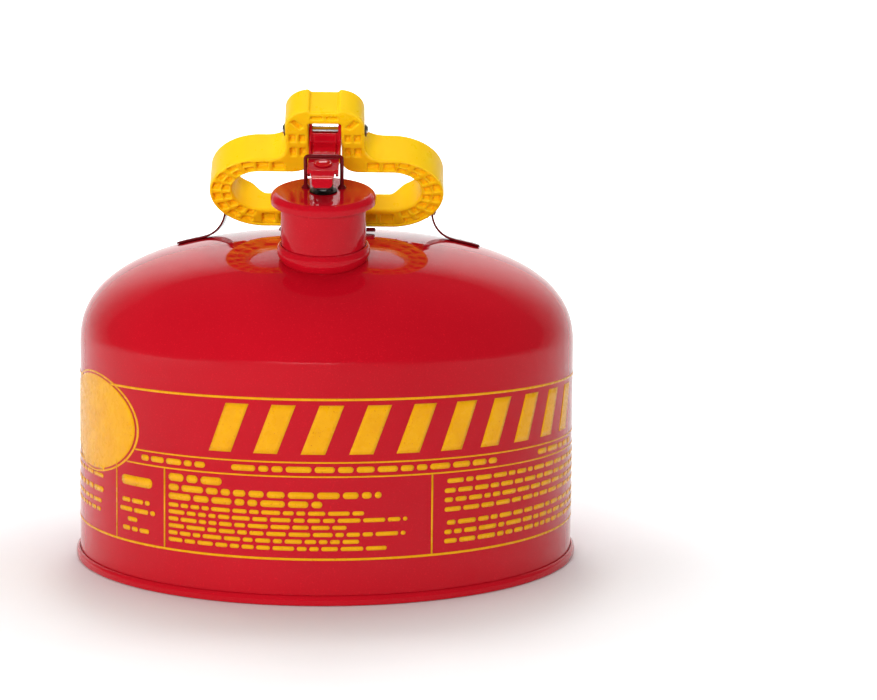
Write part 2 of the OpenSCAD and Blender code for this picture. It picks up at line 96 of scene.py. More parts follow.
# ------------------------------------------------------------------ node materials
class Nodes:
    """Small helper that builds a node tree."""

    def __init__(self, name):
        self.m = bpy.data.materials.new(name)
        self.m.use_nodes = True
        self.t = self.m.node_tree
        self.t.nodes.clear()
        self.out = self.t.nodes.new("ShaderNodeOutputMaterial")
        self.b = self.t.nodes.new("ShaderNodeBsdfPrincipled")
        self.t.links.new(self.b.outputs[0], self.out.inputs[0])
        self.co = self.t.nodes.new("ShaderNodeTexCoord").outputs["Object"]

    def link(self, a, b):
        self.t.links.new(a, b)

    def put(self, node, socket, v):
        s = node.inputs[socket]
        if hasattr(v, "links") or isinstance(v, bpy.types.NodeSocket):
            self.link(v, s)
        else:
            s.default_value = v

    def noise(self, scale, detail=3.0, rough=0.5, dist=0.0, co=None):
        n = self.t.nodes.new("ShaderNodeTexNoise")
        self.link(co or self.co, n.inputs["Vector"])
        n.inputs["Scale"].default_value = scale
        n.inputs["Detail"].default_value = detail
        n.inputs["Roughness"].default_value = rough
        n.inputs["Distortion"].default_value = dist
        return n.outputs["Fac"]

    def voronoi(self, scale, rand=1.0, feature="F1", co=None):
        n = self.t.nodes.new("ShaderNodeTexVoronoi")
        n.feature = feature
        self.link(co or self.co, n.inputs["Vector"])
        n.inputs["Scale"].default_value = scale
        n.inputs["Randomness"].default_value = rand
        return n.outputs["Distance"]

    def ramp(self, fac, stops):
        n = self.t.nodes.new("ShaderNodeValToRGB")
        self.link(fac, n.inputs[0])
        e = n.color_ramp.elements
        while len(e) < len(stops):
            e.new(0.5)
        for el, (p, c) in zip(e, stops):
            el.position = p
            el.color = (c, c, c, 1) if isinstance(c, (int, float)) else (*c, 1)
        return n.outputs["Color"]

    def math(self, op, a, b=0.0, clamp=False):
        n = self.t.nodes.new("ShaderNodeMath")
        n.operation = op
        n.use_clamp = clamp
        self.put(n, 0, a)
        self.put(n, 1, b)
        return n.outputs[0]

    def mix(self, fac, a, b, mode="MIX"):
        n = self.t.nodes.new("ShaderNodeMix")
        n.data_type = "RGBA"
        n.blend_type = mode
        self.put(n, 0, fac)
        n.inputs[6].default_value = (1, 1, 1, 1)
        for i, v in ((6, a), (7, b)):
            if isinstance(v, bpy.types.NodeSocket):
                self.link(v, n.inputs[i])
            else:
                n.inputs[i].default_value = (*v, 1)
        return n.outputs[2]

    def bump(self, height, strength, dist, normal=None):
        n = self.t.nodes.new("ShaderNodeBump")
        n.inputs["Strength"].default_value = strength
        n.inputs["Distance"].default_value = dist
        self.link(height, n.inputs["Height"])
        if normal is not None:
            self.link(normal, n.inputs["Normal"])
        return n.outputs[0]

    def edge(self):
        """Convexity of the mesh: about 0.5 on a flat face, more on an outer edge."""
        g = self.t.nodes.new("ShaderNodeNewGeometry")
        return g.outputs["Pointiness"]

    def scaled(self, x, y, z):
        n = self.t.nodes.new("ShaderNodeMapping")
        self.link(self.co, n.inputs["Vector"])
        n.inputs["Scale"].default_value = (x, y, z)
        return n.outputs[0]

    def sep(self):
        n = self.t.nodes.new("ShaderNodeSeparateXYZ")
        self.link(self.co, n.inputs[0])
        return n.outputs


def paint(name, base, deep, wear=0.35, chips=True):
    """Baked gloss enamel over steel: slight flow marks, dust specks, thin paint on edges."""
    n = Nodes(name)
    cloud = n.noise(9.0, 4, 0.55)
    col = n.mix(n.ramp(cloud, [(0.3, 0.0), (0.72, 1.0)]), base, deep)
    fleck = n.noise(1400.0, 1, 0.5)
    col = n.mix(n.ramp(fleck, [(0.60, 0.0), (0.75, 0.22)]), col, tuple(min(1, c * 1.9 + 0.015) for c in base))
    # paint is thin and lighter on hard outer edges
    ed = n.ramp(n.edge(), [(0.53, 0.0), (0.60, 1.0)])
    brk = n.noise(160.0, 5, 0.7)
    em = n.math("MULTIPLY", ed, n.ramp(brk, [(0.46, 0.0), (0.62, wear)]))
    col = n.mix(em, col, tuple(min(1, c * 0.75 + 0.10) for c in base))
    # tiny nibs of dust under the film
    nib = n.ramp(n.voronoi(210.0), [(0.0, 1.0), (0.05, 0.0)])
    nibs = n.math("MULTIPLY", nib, n.ramp(n.noise(31.0, 2), [(0.52, 0.0), (0.6, 1.0)]))
    col = n.mix(n.math("MULTIPLY", nibs, 0.55), col, tuple(c * 0.45 for c in base))
    n.link(col, n.b.inputs["Base Color"])
    smear = n.noise(26.0, 6, 0.62, 0.4, n.scaled(1, 1, 0.5))
    rough = n.ramp(smear, [(0.35, 0.16), (0.75, 0.27)])
    n.link(rough, n.b.inputs["Roughness"])
    n.b.inputs["IOR"].default_value = 1.5
    n.b.inputs["Specular IOR Level"].default_value = 0.0
    n.b.inputs["Coat Weight"].default_value = 1.0
    n.b.inputs["Coat IOR"].default_value = 1.30
    n.b.inputs["Coat Roughness"].default_value = 0.035
    peel = n.noise(330.0, 2, 0.5)
    flow = n.noise(38.0, 2, 0.5)
    h = n.math("ADD", n.math("MULTIPLY", peel, 0.25), n.math("MULTIPLY", flow, 1.0))
    h = n.math("ADD", h, n.math("MULTIPLY", nibs, 0.6))
    bm = n.bump(h, 0.05, 0.0006)
    n.link(bm, n.b.inputs["Normal"])
    n.link(bm, n.b.inputs["Coat Normal"])
    return n.m


def plastic(name):
    """Glossy moulded polyethylene: soft, slightly waxy, with scuffs and faint flow lines; painted highlight on outer
    edges, painted shade in hollows.
    """
    n = Nodes(name)
    base, deep = (0.97, 0.61, 0.007), (0.96, 0.54, 0.005)
    col = n.mix(n.ramp(n.noise(22.0, 4, 0.6), [(0.32, 0.0), (0.72, 1.0)]), base, deep)
    rub = n.ramp(n.noise(260.0, 6, 0.75), [(0.62, 0.0), (0.78, 0.35)])
    col = n.mix(rub, col, (0.97, 0.68, 0.02))
    # painted highlight: the outer edges turn a paler yellow
    ed = n.ramp(n.edge(), [(0.52, 0.0), (0.62, 0.5)])
    col = n.mix(ed, col, (0.98, 0.68, 0.02))
    # painted shade: the hollows turn a deeper orange, standing in for shade and light bounced inside the moulding
    painted_recess_shade = n.ramp(n.edge(), [(0.38, 0.8), (0.49, 0.0)])
    col = n.mix(painted_recess_shade, col, (0.86, 0.27, 0.001))
    n.link(col, n.b.inputs["Base Color"])
    n.link(n.ramp(n.noise(120.0, 5, 0.65), [(0.3, 0.24), (0.75, 0.40)]), n.b.inputs["Roughness"])
    n.b.inputs["IOR"].default_value = 1.42
    n.b.inputs["Specular IOR Level"].default_value = 0.4
    n.b.inputs["Subsurface Weight"].default_value = 0.25
    n.b.inputs["Subsurface Radius"].default_value = (0.006, 0.003, 0.0006)
    n.b.inputs["Subsurface Scale"].default_value = 0.6
    h = n.math("ADD", n.math("MULTIPLY", n.noise(900.0, 2), 0.3), n.noise(60.0, 2))
    scr = n.ramp(n.noise(45.0, 8, 0.8, 1.5, n.scaled(1, 9, 9)), [(0.60, 0.0), (0.66, 1.0)])
    h = n.math("SUBTRACT", h, n.math("MULTIPLY", scr, 0.4))
    n.link(n.bump(h, 0.10, 0.0004), n.b.inputs["Normal"])
    return n.m


def metal(name, tint, rough, scale=(6, 900, 900), hollow_dark=0.3):
    """Zinc-plated or drawn steel with a fine lay and dull patches."""
    n = Nodes(name)
    lay = n.noise(1.0, 4, 0.6, 0.0, n.scaled(*scale))
    blotch = n.noise(140.0, 5, 0.6)
    col = n.mix(n.ramp(blotch, [(0.35, 0.0), (0.75, 1.0)]), tint, tuple(c * 0.72 for c in tint))
    # darker in the hollows, by the mesh's concavity
    col = n.mix(n.math("MULTIPLY", n.ramp(n.edge(), [(0.40, 1.0), (0.49, 0.0)]), hollow_dark), col, (0.05, 0.03, 0.02))
    n.link(col, n.b.inputs["Base Color"])
    n.b.inputs["Metallic"].default_value = 1.0
    r = n.math("ADD", n.ramp(blotch, [(0.3, rough * 0.8), (0.8, rough * 1.35)]), n.math("MULTIPLY", lay, 0.08))
    n.link(r, n.b.inputs["Roughness"])
    n.link(n.bump(lay, 0.15, 0.00015), n.b.inputs["Normal"])
    return n.m


def rubber(name):
    n = Nodes(name)
    col = n.mix(n.noise(180.0, 4), (0.012, 0.012, 0.012), (0.035, 0.034, 0.032))
    n.link(col, n.b.inputs["Base Color"])
    n.link(n.ramp(n.noise(300.0, 4), [(0.3, 0.55), (0.8, 0.8)]), n.b.inputs["Roughness"])
    n.link(n.bump(n.noise(1500.0, 3), 0.3, 0.0001), n.b.inputs["Normal"])
    return n.m


def gauze(name):
    """Woven wire gauze: the weave is a bump and colour grid round the sleeve."""
    n = Nodes(name)
    w1 = n.t.nodes.new("ShaderNodeTexWave")
    w1.wave_type, w1.bands_direction = "BANDS", "Z"
    n.link(n.co, w1.inputs["Vector"])
    w1.inputs["Scale"].default_value = 260.0
    w2 = n.t.nodes.new("ShaderNodeTexWave")
    w2.wave_type, w2.bands_direction = "BANDS", "DIAGONAL"
    n.link(n.scaled(1, 1, 0.0), w2.inputs["Vector"])
    w2.inputs["Scale"].default_value = 260.0
    g = n.math("MAXIMUM", w1.outputs["Fac"], w2.outputs["Fac"])
    col = n.mix(g, (0.02, 0.02, 0.02), (0.42, 0.41, 0.39))
    n.link(col, n.b.inputs["Base Color"])
    n.b.inputs["Metallic"].default_value = 0.9
    n.link(n.ramp(n.noise(200.0, 3), [(0.3, 0.3), (0.8, 0.5)]), n.b.inputs["Roughness"])
    n.link(n.bump(g, 0.6, 0.0003), n.b.inputs["Normal"])
    return n.m


def ink(name):
    """Screen-printed ink with pinholes and a slightly uneven film."""
    n = Nodes(name)
    col = n.mix(n.ramp(n.noise(85.0, 5, 0.65), [(0.35, 0.0), (0.7, 1.0)]), (0.80, 0.38, 0.004), (0.74, 0.32, 0.003))
    pin = n.ramp(n.noise(1100.0, 2, 0.6), [(0.27, 1.0), (0.33, 0.0)])
    col = n.mix(n.math("MULTIPLY", pin, 0.75), col, (0.45, 0.01, 0.01))
    n.link(col, n.b.inputs["Base Color"])
    n.link(n.ramp(n.noise(240.0, 4), [(0.3, 0.22), (0.8, 0.36)]), n.b.inputs["Roughness"])
    n.b.inputs["Specular IOR Level"].default_value = 0.2
    n.link(n.bump(n.noise(700.0, 3), 0.12, 0.0002), n.b.inputs["Normal"])
    return n.m


RED = paint("red_enamel", (0.50, 0.0035, 0.0125), (0.44, 0.0025, 0.010))
# dark red enamel for the straps and the rest bracket; on the bail and its weld beads it is painted shade over red paint
RED_DARK = paint("dark_red_enamel", (0.15, 0.003, 0.006), (0.09, 0.002, 0.004), wear=0.6)
YELLOW = plastic("yellow_moulding")
PLATED = metal("zinc_plate", (0.62, 0.62, 0.60), 0.24)
SPRING = metal("drawn_wire", (0.22, 0.21, 0.20), 0.32)
# painted shade: a near-black steel for the spring cup, which is plated but sits in shade under the arm
SHADE_DARK_STEEL = metal("steel_dark_for_shade", (0.035, 0.030, 0.030), 0.42)
BRIGHT = metal("bright_pin", (0.80, 0.79, 0.77), 0.14)
RUBBER = rubber("black_rubber")
GAUZE = gauze("wire_gauze")
INK = ink("printed_ink")


# ------------------------------------------------------------------ mesh helpers
def mesh_obj(name, verts, faces, mat, matrix=None, smooth=True, angle=None):
    v = np.asarray(verts, float)
    if matrix is not None:
        m = np.array(matrix)
        v = v @ m[:3, :3].T + m[:3, 3]
    me = bpy.data.meshes.new(name)
    if isinstance(faces, np.ndarray):
        k = faces.shape[1]
        me.vertices.add(len(v))
        me.vertices.foreach_set("co", (v * MM).ravel())
        me.loops.add(faces.size)
        me.loops.foreach_set("vertex_index", faces.ravel().astype(np.int32))
        me.polygons.add(len(faces))
        me.polygons.foreach_set("loop_start", np.arange(0, faces.size, k, dtype=np.int32))
        me.update(calc_edges=True)
    else:
        me.from_pydata((v * MM).tolist(), [], faces)
    me.validate()
    me.polygons.foreach_set("use_smooth", [smooth] * len(me.polygons))
    me.materials.append(mat)
    me.update()
    if smooth and angle is not None:
        me.set_sharp_from_angle(angle=math.radians(angle))
    o = bpy.data.objects.new(name, me)
    bpy.context.collection.objects.link(o)
    return o


def fix_normals(o):
    bm = bmesh.new()
    bm.from_mesh(o.data)
    bmesh.ops.recalc_face_normals(bm, faces=bm.faces)
    bm.to_mesh(o.data)
    bm.free()


def rounded(points, r=0.35, n=3, closed=True):
    """Rounds the corners of an outline: each corner is cut at r and filled with a small arc."""
    P = [np.array(p, float) for p in points]
    out = []
    N = len(P)
    for i in range(N):
        a, b, c = P[i - 1], P[i], P[(i + 1) % N]
        if not closed and i in (0, N - 1):
            out.append(b)
            continue
        la, lc = np.linalg.norm(a - b), np.linalg.norm(c - b)
        if la < 1e-9 or lc < 1e-9:
            continue
        q = min(r, la * 0.45, lc * 0.45)
        p0, p1 = b + (a - b) / la * q, b + (c - b) / lc * q
        for k in range(n + 1):
            t = k / n
            out.append((1 - t) ** 2 * p0 + 2 * t * (1 - t) * b + t * t * p1)
    return np.array(out)


def lathe(name, profile, mat, matrix=None, seg=192, closed=True, angle=40):
    """Turns an outline of (radius, height) points about Z. Points on the axis share one vertex."""
    prof = np.asarray(profile, float)
    a = np.linspace(0, 2 * math.pi, seg, endpoint=False)
    verts, rows = [], []
    for r, z in prof:
        if r < 1e-6:
            rows.append([len(verts)] * seg)
            verts.append((0, 0, z))
        else:
            rows.append(list(range(len(verts), len(verts) + seg)))
            verts += [(r * math.cos(t), r * math.sin(t), z) for t in a]
    faces = []
    n = len(prof)
    for i in range(n if closed else n - 1):
        A, B = rows[i], rows[(i + 1) % n]
        for k in range(seg):
            q = [A[k], A[(k + 1) % seg], B[(k + 1) % seg], B[k]]
            q = [q[j] for j in range(4) if q[j] != q[j - 1]]
            if len(set(q)) >= 3:
                faces.append(q)
    o = mesh_obj(name, verts, faces, mat, matrix, True, angle)
    fix_normals(o)
    return o


def sweep(name, pts, r, mat, matrix=None, sides=14, ends=True, flat=None):
    """A round wire along points, with rounded ends."""
    P = np.asarray(pts, float)
    T = np.gradient(P, axis=0)
    T /= np.linalg.norm(T, axis=1)[:, None]
    n0 = np.cross(T[0], [0.31, 0.87, 0.38])
    n0 /= np.linalg.norm(n0)
    rings = []
    N = n0
    rad = np.full(len(P), r)
    if ends:
        ks = np.array([0.35, 0.75, 0.94])
        off = r * np.sqrt(1 - ks ** 2)
        P = np.concatenate([P[0] - T[0] * off[:, None], P, (P[-1] + T[-1] * off[:, None])[::-1]])
        T = np.concatenate([np.repeat(T[:1], 3, 0), T, np.repeat(T[-1:], 3, 0)])
        rad = np.concatenate([r * ks, rad, (r * ks)[::-1]])
    for i in range(len(P)):
        N = N - T[i] * (N @ T[i])
        N /= np.linalg.norm(N)
        B = np.cross(T[i], N)
        a = np.linspace(0, 2 * math.pi, sides, endpoint=False)
        rings.append(P[i] + rad[i] * (np.cos(a)[:, None] * N + np.sin(a)[:, None] * B))
    V = np.concatenate(rings)
    F = []
    for i in range(len(P) - 1):
        for k in range(sides):
            k2 = (k + 1) % sides
            F.append([i * sides + k, i * sides + k2, (i + 1) * sides + k2, (i + 1) * sides + k])
    F.append(list(range(sides))[::-1])
    F.append([(len(P) - 1) * sides + k for k in range(sides)])
    o = mesh_obj(name, V, F, mat, matrix, True, 60)
    fix_normals(o)
    return o


# distance fields (mm), polygonised by surface nets: moulded and pressed parts with true fillets
def smin(a, b, k):
    h = np.maximum(k - np.abs(a - b), 0) / k
    return np.minimum(a, b) - h * h * k * 0.25


def smax(a, b, k):
    return -smin(-a, -b, k)


def sd_box2(x, y, cx, cy, hx, hy, r=0.0):
    qx, qy = np.abs(x - cx) - hx + r, np.abs(y - cy) - hy + r
    return np.minimum(np.maximum(qx, qy), 0) + np.hypot(np.maximum(qx, 0), np.maximum(qy, 0)) - r


def sd_box3(x, y, z, c, h, r=0.0):
    q = [np.abs(v - cc) - hh + r for v, cc, hh in zip((x, y, z), c, h)]
    return np.minimum(np.maximum(np.maximum(q[0], q[1]), q[2]), 0) + np.sqrt(sum(np.maximum(v, 0) ** 2 for v in q)) - r


def sd_slug(x, y, hx, r, cy):
    return np.hypot(np.maximum(np.abs(x) - (hx - r), 0), y - cy) - r


def extrude_round(d2, dz, r):
    a, b = d2 + r, dz + r
    return np.minimum(np.maximum(a, b), 0) + np.hypot(np.maximum(a, 0), np.maximum(b, 0)) - r


def sd_path(x, y, pts):
    """Distance to an open line of points, and the place along it."""
    best = np.full(np.shape(x), 1e9)
    for (ax, ay), (bx, by) in zip(pts[:-1], pts[1:]):
        dx, dy = bx - ax, by - ay
        t = np.clip(((x - ax) * dx + (y - ay) * dy) / (dx * dx + dy * dy), 0, 1)
        best = np.minimum(best, np.hypot(x - ax - t * dx, y - ay - t * dy))
    return best


def nets(name, f, lo, hi, h, mat, matrix=None, polish=3):
    """Surface nets over a distance field, then each point is moved onto the true surface."""
    lo, hi = np.array(lo, float), np.array(hi, float)
    n = np.ceil((hi - lo) / h).astype(int) + 1
    ax = [lo[i] + h * np.arange(n[i]) for i in range(3)]
    F = np.empty(n, np.float32)
    for i in range(0, n[0], 16):
        X, Y, Z = np.meshgrid(ax[0][i:i + 16], ax[1], ax[2], indexing="ij")
        F[i:i + 16] = f(X, Y, Z)
    S = F < 0
    c = tuple(n - 1)
    acc = np.zeros(c + (3,), np.float32)
    cnt = np.zeros(c, np.float32)
    quads = []
    cross = []
    for d in range(3):
        sl0 = [slice(None)] * 3
        sl1 = [slice(None)] * 3
        sl0[d], sl1[d] = slice(0, -1), slice(1, None)
        A, B = F[tuple(sl0)], F[tuple(sl1)]
        X = S[tuple(sl0)] != S[tuple(sl1)]
        idx = np.argwhere(X)
        a, b = A[X], B[X]
        t = a / (a - b)
        p = idx.astype(np.float32)
        p[:, d] += t
        u, v = (d + 1) % 3, (d + 2) % 3
        for du in (0, 1):
            for dv in (0, 1):
                j = idx.copy()
                j[:, u] -= du
                j[:, v] -= dv
                ok = np.all((j >= 0) & (j < np.array(c)), axis=1)
                np.add.at(acc, tuple(j[ok].T), p[ok])
                np.add.at(cnt, tuple(j[ok].T), 1)
        cross.append((d, idx, S[tuple(sl0)][X]))
    occ = cnt > 0
    ids = np.full(c, -1, np.int64)
    ids[occ] = np.arange(occ.sum())
    V = lo + h * (acc[occ] / cnt[occ][:, None])
    for d, idx, inside in cross:
        u, v = (d + 1) % 3, (d + 2) % 3
        ok = (idx[:, u] > 0) & (idx[:, v] > 0) & (idx[:, u] < c[u]) & (idx[:, v] < c[v])
        idx, ins = idx[ok], inside[ok]
        corner = []
        for du, dv in ((0, 0), (1, 0), (1, 1), (0, 1)):
            j = idx.copy()
            j[:, u] -= du
            j[:, v] -= dv
            corner.append(ids[tuple(j.T)])
        q = np.stack(corner, 1)
        q[~ins] = q[~ins][:, ::-1]
        quads.append(q)
    Q = np.concatenate(quads)
    e = h * 0.2
    for _ in range(polish):
        x, y, z = V.T
        d0 = f(x, y, z)
        g = np.stack([(f(x + e, y, z) - f(x - e, y, z)), (f(x, y + e, z) - f(x, y - e, z)), (f(x, y, z + e) - f(x, y, z - e))], 1) / (2 * e)
        g2 = np.maximum((g ** 2).sum(1), 0.05)
        step = (d0 / g2)[:, None] * g
        m = np.linalg.norm(step, axis=1, keepdims=True)
        V = V - step * np.minimum(1, 0.5 * h / np.maximum(m, 1e-9))
    return mesh_obj(name, V, Q, mat, matrix, True)


# ------------------------------------------------------------------ pieces
def done(o, body, slot, *nodes):
    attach(o, body)
    if nodes:
        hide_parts(*nodes)
    return o


def shell_profile(d, n):
    """Outline from the foot of the wall to the top of the dome, shrunk by d."""
    wall = [(BODY_R - d, z) for z in np.linspace(1.3, WALL_H, 24)[:-1]]
    t = np.radians(90 * (1 - (1 - np.linspace(0, 1, n)) ** 1.25))
    r = (BODY_R - d) * np.maximum(np.cos(t), 0) ** (2 / EX_R)
    z = WALL_H + (RISE - d) * np.maximum(np.sin(t), 0) ** (2 / EX_Z)
    r[-1] = 0
    return wall + list(zip(r, z))


def make_body():
    prof = shell_profile(0, 110) + shell_profile(SHEET, 70)[::-1]
    o = lathe("can_body", prof, RED, seg=360, angle=35)
    cut = lathe("cut", [(0, -20), (FOOT_R - 0.2, -20), (FOOT_R - 0.2, 20), (0, 20)], RED, T_NECK, seg=96, closed=False)
    m = o.modifiers.new("hole", "BOOLEAN")
    m.object, m.operation, m.solver = cut, "DIFFERENCE", "EXACT"
    bpy.context.view_layer.update()
    me = bpy.data.meshes.new_from_object(o.evaluated_get(bpy.context.evaluated_depsgraph_get()))
    o.modifiers.clear()
    o.data = me
    bpy.data.objects.remove(cut)
    o.data.polygons.foreach_set("use_smooth", [True] * len(o.data.polygons))
    o.data.set_sharp_from_angle(angle=math.radians(35))
    done(o, "can", "red_paint", "body_shell")


def make_base():
    r = BODY_R - SHEET - 0.05
    p = [(0, 5), (108, 5), (112, 5.9), (116, 6.6), (r - 2.6, 6.6), (r - 1.2, 5.4), (r - 1.2, 1.3), (r, 1.3), (r, 7.8), (115, 7.8), (110, 6.9), (106, 6.2), (0, 6.2)]
    q = rounded(p[1:-1], 1.0, 3, closed=False)
    o = lathe("base_disc", [p[0]] + list(map(tuple, q)) + [p[-1]], RED, seg=240, closed=False)
    done(o, "can", "red_paint", "base_pan")
    c = CHIME_H
    p = [(BODY_R - 2.3, 0), (CHIME_R - 1.0, 0), (CHIME_R - 0.15, 0.5), (CHIME_R, 1.6), (CHIME_R, c - 2.2), (CHIME_R - 0.35, c - 0.9),
         (CHIME_R - 1.2, c - 0.1), (BODY_R + 0.35, c), (BODY_R + 0.05, c - 0.5), (BODY_R + 0.05, 1.2), (BODY_R - 2.3, 1.2)]
    o = lathe("bottom_seam", rounded(p, 0.5, 4), RED, seg=360, angle=50)
    done(o, "can", "red_paint", "chime_ring")


def make_neck():
    f = FOOT_R
    p = [(BORE_R, -7), (f, -7), (f, 7.2), (NECK_R, 7.55), (NECK_R, 29.15), (f, 29.5), (f, NECK_TOP - 0.1), (f - 0.35, NECK_TOP), (BORE_R + 0.1, NECK_TOP)]
    o = lathe("pour_neck", rounded(p, 0.45, 4), RED, T_NECK, seg=192)
    done(o, "can", "red_paint", "neck_tube")
    # the collar's lower edge follows the dome, so each of its rings is bent to it
    seg, rows = 220, [(-0.9, 0.15), (-0.45, 0.30), (-0.05, 0.75), (0.35, 1.5), (0.75, 2.4), (1.0, 3.3), (1.0, 4.3), (0.8, 5.2), (0.5, 5.9), (0.12, 6.5), (-0.35, 6.95), (-0.75, 7.1), (-0.95, 6.6), (-0.95, 1.0)]
    verts, faces = [], []
    m = np.array(T_NECK)
    for k in range(seg):
        a = 2 * math.pi * k / seg
        # height of the dome under this direction, in the neck's own frame
        zz = 0.0
        for _ in range(12):
            w = m[:3, :3] @ np.array([COLLAR_R * math.cos(a), COLLAR_R * math.sin(a), zz]) + m[:3, 3]
            zz -= (w[2] - float(dome_z(math.hypot(w[0], w[1])))) * 0.9
        for dr, s in rows:
            f = max(0.0, 1 - s / 7.1)
            verts.append(((COLLAR_R + dr) * math.cos(a), (COLLAR_R + dr) * math.sin(a), s + (zz - 0.1) * f))
    R = len(rows)
    for k in range(seg):
        for j in range(R):
            j2, k2 = (j + 1) % R, (k + 1) % seg
            faces.append([k * R + j, k2 * R + j, k2 * R + j2, k * R + j2])
    o = mesh_obj("neck_bead", verts, faces, RED, T_NECK, True, 70)
    fix_normals(o)
    done(o, "can", "red_paint", "neck_collar")


def make_lid():
    r, t = LID_R, LID_TOP
    outer = [(0, t), (6, t), (r - 4.6, t), (r - 3.6, t)]
    arc = [(r - 3.1 + 3.1 * math.sin(a), t - 3.1 + 3.1 * math.cos(a)) for a in np.linspace(0.06, math.pi / 2, 14)]
    skirt = [(r, t - 3.6), (r, SKIRT + 0.5), (r - 0.12, SKIRT + 0.12), (r - 0.5, SKIRT), (r - 0.88, SKIRT + 0.12), (r - 1.0, SKIRT + 0.5)]
    inner = [(r - 1.1, G_TOP - 1.9), (r - 1.4, G_TOP - 1.0), (r - 2.0, G_TOP - 0.35), (r - 2.8, G_TOP + 0.02), (0, G_TOP + 0.02)]
    o = lathe("lid_cap_round", outer + arc + skirt + inner, RED, T_NECK, seg=220, closed=False, angle=50)
    done(o, "lid", "red_paint", "lid_cap")
    p = [(2.6, G_LOW), (LID_R - 3.3, G_LOW), (LID_R - 3.0, G_LOW + 0.4), (LID_R - 3.0, G_TOP), (2.6, G_TOP)]
    done(lathe("seal_disc", rounded(p, 0.25, 3), RUBBER, T_NECK), "lid", "black_rubber", "lid_gasket")
    p = [(2.6, G_LOW - 0.9), (16.6, G_LOW - 0.9), (17, G_LOW - 0.5), (17, G_LOW - 0.02), (2.6, G_LOW - 0.02)]
    done(lathe("seal_plate", rounded(p, 0.2, 3), PLATED, T_NECK), "lid", "plated_steel", "gasket_plate")
    p = [(0, G_LOW - 2.4), (4.3, G_LOW - 2.4), (4.6, G_LOW - 0.92), (2.5, G_LOW - 0.92), (2.5, PL + 2.2), (0, PL + 2.2)]
    q = rounded(p, 0.35, 3, closed=False)
    stem = lathe("stud_stem", q, PLATED, T_NECK, seg=96, closed=False, angle=50)
    done(stem, "lid", "plated_steel", "lid_stud")
    # the head lies flat on the sloping plate
    t = ARM_T
    p = [(0, t + 0.2), (4.6, t + 0.2), (4.9, t + 0.4), (4.85, t + 0.75), (4.3, t + 0.95), (3.35, t + 1.0), (3.2, t + 1.35), (2.5, t + 1.65), (0, t + 1.7)]
    m = T_NECK @ Matrix.Translation((0, 0, PL)) @ Matrix.Rotation(math.radians(P_LEAN), 4, "X")
    done(lathe("stud_head", rounded(p, 0.22, 3, closed=False), RED, m, seg=96, closed=False, angle=50), "lid", "red_paint")
    p = [(2.6, LID_TOP + 0.02), (7.2, LID_TOP + 0.02), (7.2, LID_TOP + 0.9), (2.6, LID_TOP + 0.9)]
    # the plated cup gets the near-black steel as painted shade
    done(lathe("spring_cup", rounded(p, 0.25, 3), SHADE_DARK_STEEL, T_NECK, seg=96), "lid", "plated_steel", "spring_seat")


def helix(r, z0, z1, turns, per=28, a0=0.0):
    n = int(turns * per)
    t = np.linspace(0, 1, n + 1)
    a = a0 + 2 * math.pi * turns * t
    # the end coils lie nearly flat
    z = z0 + (z1 - z0) * (t + 0.045 * np.sin(2 * math.pi * t) * -1)
    return np.stack([r * np.cos(a), r * np.sin(a), z], 1)


def make_springs():
    w, low, high = 0.7, LID_TOP + 0.95, plate(-5.3, 0)[1] - 0.12
    o = sweep("vapour_spring", helix(4.6, low + w, high - w, 4.5), w, SPRING, T_NECK, sides=12)
    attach(o, "lid")
    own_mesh(o)
    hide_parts("relief_spring")
    both = []
    for k in (-1, 1):
        c = helix(3.9, 0, 7.2, 4.5, 28)
        p = np.stack([k * (39.9 + c[:, 2]), PIV_Y + c[:, 0], PIV_Z + c[:, 1]], 1)
        # short straight legs along the tangents
        t0, t1 = p[0] - p[1], p[-1] - p[-2]
        t0, t1 = t0 / np.linalg.norm(t0), t1 / np.linalg.norm(t1)
        p = np.concatenate([[p[0] + t0 * 4.2], [p[0] + t0 * 2], p, [p[-1] + t1 * 2], [p[-1] + t1 * 3.6]])
        both.append(sweep("hinge_spring_" + ("right" if k > 0 else "left"), p, 0.8, SPRING, sides=12))
    for i, o in enumerate(both):
        done(o, "handle", "spring_steel", *(["handle_springs"] if i == 0 else []))


def handle_n(x, s):
    """Depth of the moulding at a place on its face."""
    def st(v, a, b):
        q = np.clip((v - a) / (b - a), 0, 1)
        return q * q * (3 - 2 * q)
    bar = (1 - st(np.abs(x), 34, 44)) * (1 - st(s, 17, 25))
    blk = st(s, 58, 70)
    return RING_D - (RING_D - BAR_D) * bar - (RING_D - BLOCK_D) * blk


def handle_outline(x, s):
    ring = sd_slug(x, s, RING_W, RING_H / 2, RING_H / 2)
    block = sd_box2(x, s, 0, (BLOCK_TOP + 30) / 2, BLOCK_W, (BLOCK_TOP - 30) / 2, 13.8)
    o = smin(ring, block, 12.0)
    hole_h = RING_H - LOW_BAR - TOP_BAR
    hole = sd_slug(x, s, RING_W - 12.3, hole_h / 2, LOW_BAR + hole_h / 2)
    slot = sd_box2(x, s, 0, 62.0, 8.6, 25.5, 1.2)
    inner = smin(hole, slot, 10.0)
    notch = sd_box2(x, s, 0, BLOCK_TOP + 8, 7.5, 9.9, 1.0)
    return smax(np.maximum(o, -inner), -notch, 1.6), ring, hole, block


def hole_edge(a):
    """Distance from the centre of the ring's round end to the edge of the hole, in direction a."""
    hole_h = RING_H - LOW_BAR - TOP_BAR
    r = hole_h / 2
    cx = RING_W - 12.3 - r - (RING_W - RING_H / 2)
    cy = LOW_BAR + r - RING_H / 2
    d = cx * math.cos(a) + cy * math.sin(a)
    return d + math.sqrt(r * r - cx * cx - cy * cy + d * d)


